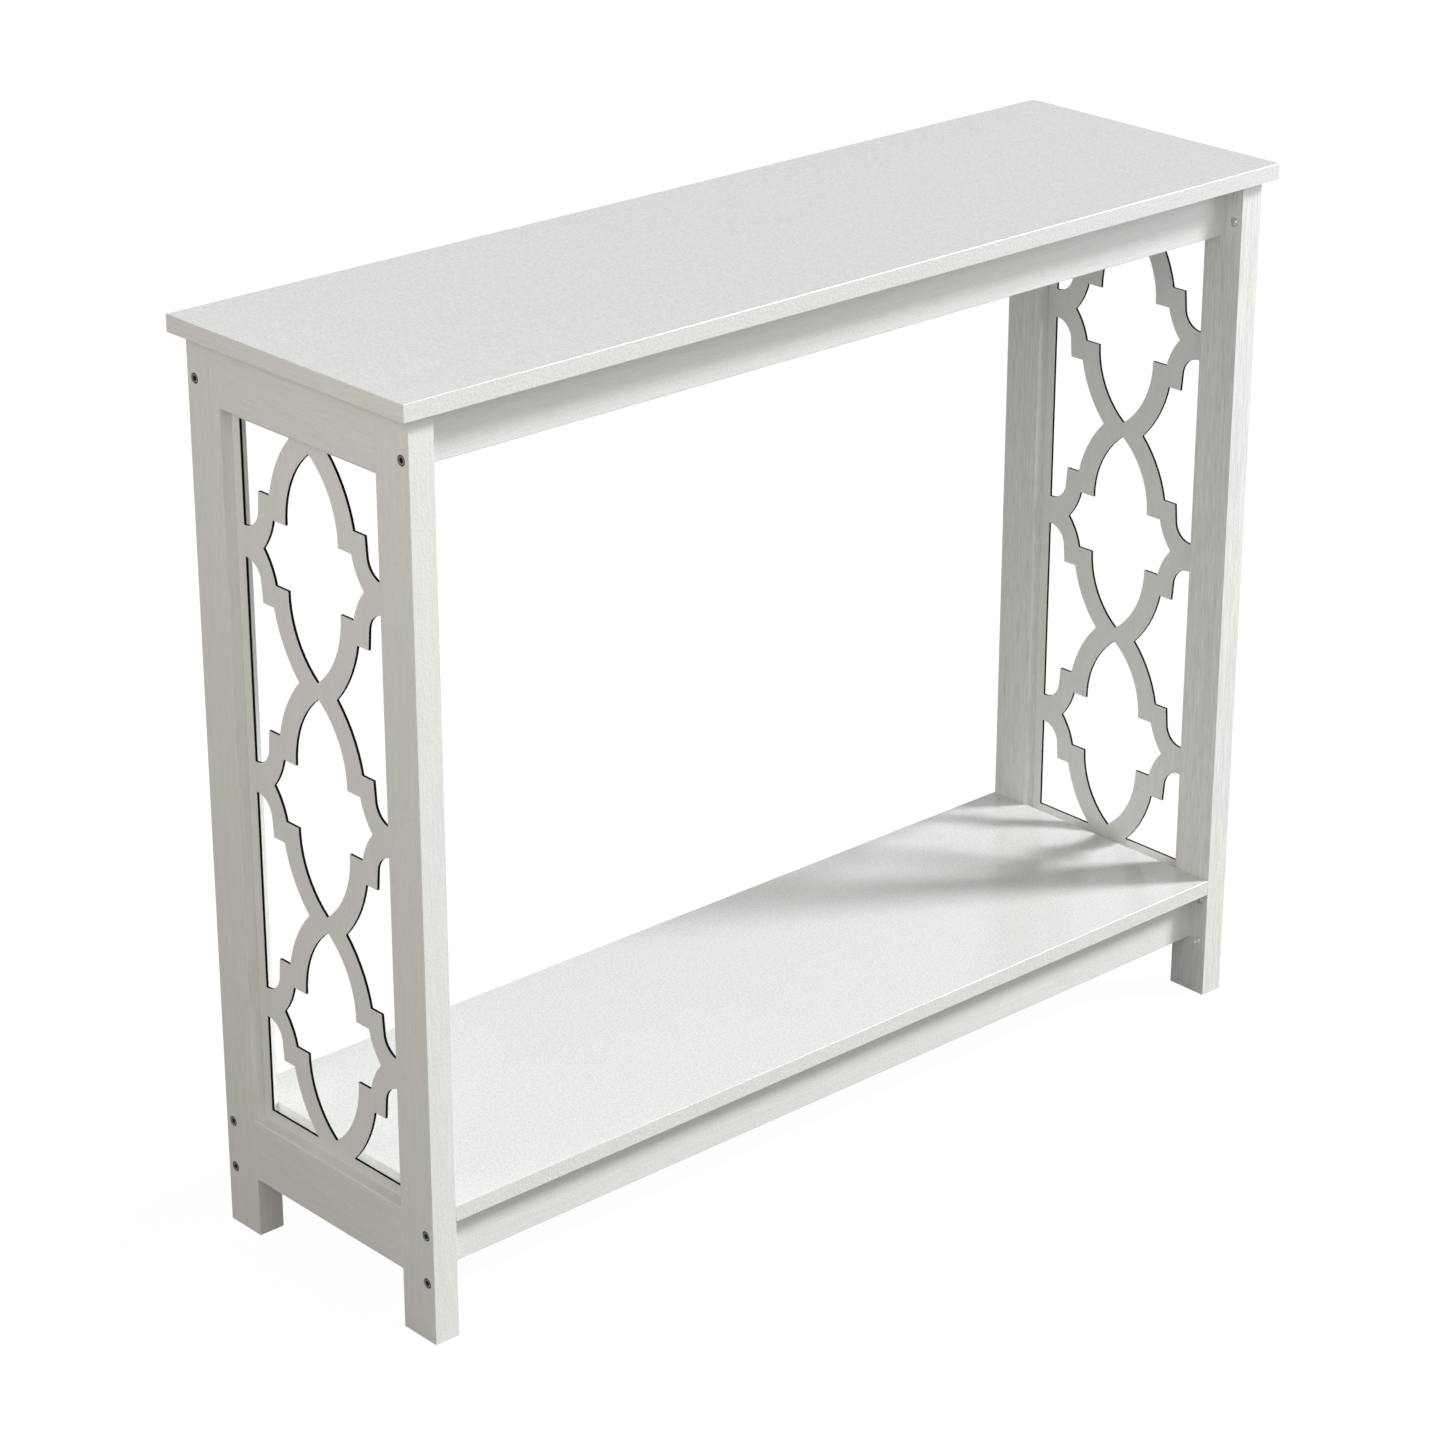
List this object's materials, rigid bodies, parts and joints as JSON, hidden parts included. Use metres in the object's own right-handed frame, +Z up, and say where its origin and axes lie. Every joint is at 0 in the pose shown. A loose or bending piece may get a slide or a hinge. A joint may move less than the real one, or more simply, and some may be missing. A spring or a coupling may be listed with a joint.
{
  "type": "console table",
  "caption": "Narrow white console table: flat top and low shelf between two end frames, each end filled by a thin pierced lantern-lattice panel.",
  "frame": {"origin": "on the floor, under the middle of the table top", "axes": "+X along the table's length (left end to right end), +Y from the front to the back, +Z up"},
  "size_m": [1, 0.305, 0.8265],
  "materials": {
    "white_board": "satin white foil over fibreboard, faint embossed grain",
    "white_frame": "satin white paint over board, faint embossed grain",
    "white_panel": "matte white thin fibreboard with dark laser-cut edges",
    "black_bolt": "dark oxide steel, satin",
    "sleeve_metal": "pale plated steel, dull",
    "cam_metal": "zinc die casting, dull grey",
    "raw_dowel": "bare beech, unfinished"
  },
  "bodies": {
    "root": {"top_board": "white_board", "shelf_board": "white_board", "apron_front": "white_frame", "apron_rear": "white_frame", "stretcher_front": "white_frame", "stretcher_rear": "white_frame", "leg_left_front": "white_frame", "leg_left_rear": "white_frame", "end_top_rail_left": "white_frame", "end_bottom_rail_left": "white_frame", "lattice_panel_left": "white_panel", "leg_right_front": "white_frame", "leg_right_rear": "white_frame", "end_top_rail_right": "white_frame", "end_bottom_rail_right": "white_frame", "lattice_panel_right": "white_panel", "leg_bolt_upper_left_front": "black_bolt", "sleeve_nut_upper_left_front": "sleeve_metal", "leg_bolt_middle_left_front": "black_bolt", "sleeve_nut_middle_left_front": "sleeve_metal", "leg_bolt_lower_left_front": "black_bolt", "sleeve_nut_lower_left_front": "sleeve_metal", "cam_pin_apron_left_front": "sleeve_metal", "cam_apron_left_front": "cam_metal", "cam_pin_stretcher_left_front": "sleeve_metal", "cam_stretcher_left_front": "cam_metal", "top_dowel_left_front": "raw_dowel", "leg_bolt_upper_left_rear": "black_bolt", "sleeve_nut_upper_left_rear": "sleeve_metal", "leg_bolt_middle_left_rear": "black_bolt", "sleeve_nut_middle_left_rear": "sleeve_metal", "leg_bolt_lower_left_rear": "black_bolt", "sleeve_nut_lower_left_rear": "sleeve_metal", "cam_pin_apron_left_rear": "sleeve_metal", "cam_apron_left_rear": "cam_metal", "cam_pin_stretcher_left_rear": "sleeve_metal", "cam_stretcher_left_rear": "cam_metal", "top_dowel_left_rear": "raw_dowel", "leg_bolt_upper_right_front": "black_bolt", "sleeve_nut_upper_right_front": "sleeve_metal", "leg_bolt_middle_right_front": "black_bolt", "sleeve_nut_middle_right_front": "sleeve_metal", "leg_bolt_lower_right_front": "black_bolt", "sleeve_nut_lower_right_front": "sleeve_metal", "cam_pin_apron_right_front": "sleeve_metal", "cam_apron_right_front": "cam_metal", "cam_pin_stretcher_right_front": "sleeve_metal", "cam_stretcher_right_front": "cam_metal", "top_dowel_right_front": "raw_dowel", "leg_bolt_upper_right_rear": "black_bolt", "sleeve_nut_upper_right_rear": "sleeve_metal", "leg_bolt_middle_right_rear": "black_bolt", "sleeve_nut_middle_right_rear": "sleeve_metal", "leg_bolt_lower_right_rear": "black_bolt", "sleeve_nut_lower_right_rear": "sleeve_metal", "cam_pin_apron_right_rear": "sleeve_metal", "cam_apron_right_rear": "cam_metal", "cam_pin_stretcher_right_rear": "sleeve_metal", "cam_stretcher_right_rear": "cam_metal", "top_dowel_right_rear": "raw_dowel"}
  },
  "joints": []
}
